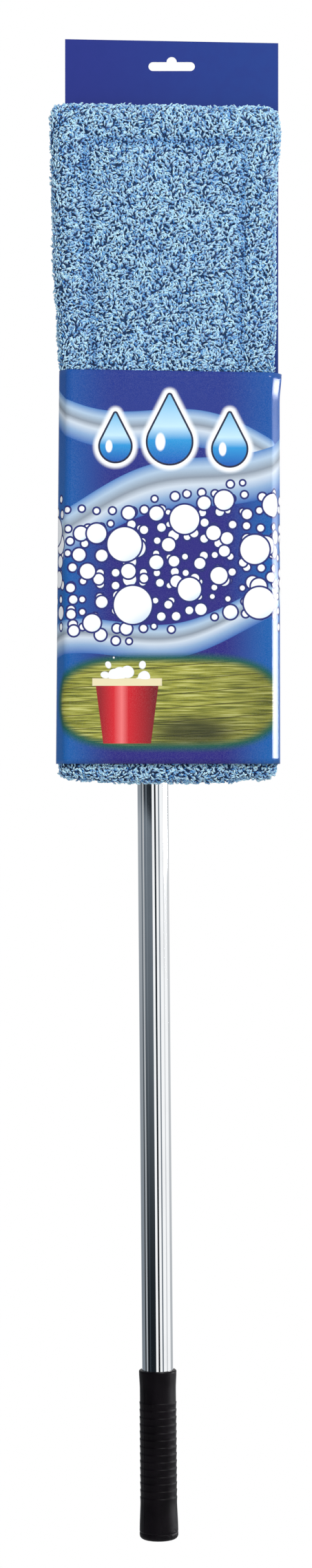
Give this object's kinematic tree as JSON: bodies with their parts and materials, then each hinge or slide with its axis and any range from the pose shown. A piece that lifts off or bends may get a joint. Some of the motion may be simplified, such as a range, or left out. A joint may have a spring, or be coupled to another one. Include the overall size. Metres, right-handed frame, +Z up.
{
  "type": "flat mop",
  "caption": "Flat floor mop with a microfibre pocket pad, folding plate, two-axis joint and telescopic handle, hanging in its card sleeve and header.",
  "frame": {"origin": "centre of the hang slot's bar, in the middle of the header card's thickness", "axes": "+Z up along the hanging mop, +X to the right and +Y away from the viewer, who faces the printed front"},
  "size_m": [0.157, 0.0715, 1.0425],
  "materials": {
    "blue_card": "coated card",
    "printed_card": "gloss printed card",
    "red_plastic": "gloss moulded",
    "black_plastic": "satin moulded",
    "steel": "zinc plated",
    "backing_cloth": "woven",
    "microfibre": "curled pile",
    "pocket_cloth": "woven",
    "chrome": "bright plated",
    "white_plastic": "natural moulded",
    "grip_rubber": "matte moulded"
  },
  "bodies": {
    "carton": {"header_card": "blue_card", "carton_sleeve": "printed_card"},
    "frame": {"frame_plate": "red_plastic", "joint_bracket": "black_plastic", "bracket_screws": "steel", "roll_pin": "steel", "hinge_pins": "steel", "latch_magnets": "steel", "pedal_pin": "steel", "pedal_spring": "steel", "pad_backing": "backing_cloth", "mop_pad": "microfibre", "lower_pocket": "pocket_cloth"},
    "wing": {"folding_wing": "red_plastic", "striker_plate": "steel", "keeper_discs": "steel", "upper_pocket": "pocket_cloth"},
    "pedal": {"release_pedal": "black_plastic"},
    "knuckle": {"knuckle": "black_plastic"},
    "handle": {"fold_pin": "steel", "handle_socket": "black_plastic", "socket_screw": "steel", "inner_tube": "chrome", "lock_plug": "white_plastic"},
    "lock": {"lock_collet": "white_plastic"},
    "outer": {"outer_tube": "chrome", "guide_bush": "black_plastic", "grip": "grip_rubber"}
  },
  "joints": [
    {"name": "carton_slide", "type": "slide", "parent": "carton", "child": "frame", "axis": [0, 0, -1], "range_m": [0, 0.46]},
    {"name": "wing_fold", "type": "hinge", "parent": "frame", "child": "wing", "pos_m": [-0.004, -0.0058, -0.1905], "axis": [1, 0, 0], "range_deg": [0, 90], "deforming": ["mop_pad", "pad_backing"]},
    {"name": "pedal_press", "type": "hinge", "parent": "frame", "child": "pedal", "pos_m": [-0.004, -0.0054, -0.2205], "axis": [1, 0, 0], "range_deg": [0, 5], "stiffness_Nm_per_rad": 1.5, "deforming": ["pedal_spring"]},
    {"name": "joint_roll", "type": "hinge", "parent": "frame", "child": "knuckle", "pos_m": [-0.004, 0.0115, -0.2625], "axis": [0, 0, 1], "range_deg": [-105, 51]},
    {"name": "handle_fold", "type": "hinge", "parent": "knuckle", "child": "handle", "pos_m": [-0.0149, 0.03288, -0.2625], "axis": [0.891, 0.454, 0], "range_deg": [0, 180]},
    {"name": "lock_twist", "type": "hinge", "parent": "handle", "child": "lock", "pos_m": [-0.0149, 0.03288, -0.2625], "axis": [-0.0082, 0, 1], "range_deg": [0, 180]},
    {"name": "tube_extend", "type": "slide", "parent": "lock", "child": "outer", "axis": [0.0082, 0, -1], "range_m": [0, 0.45]}
  ]
}
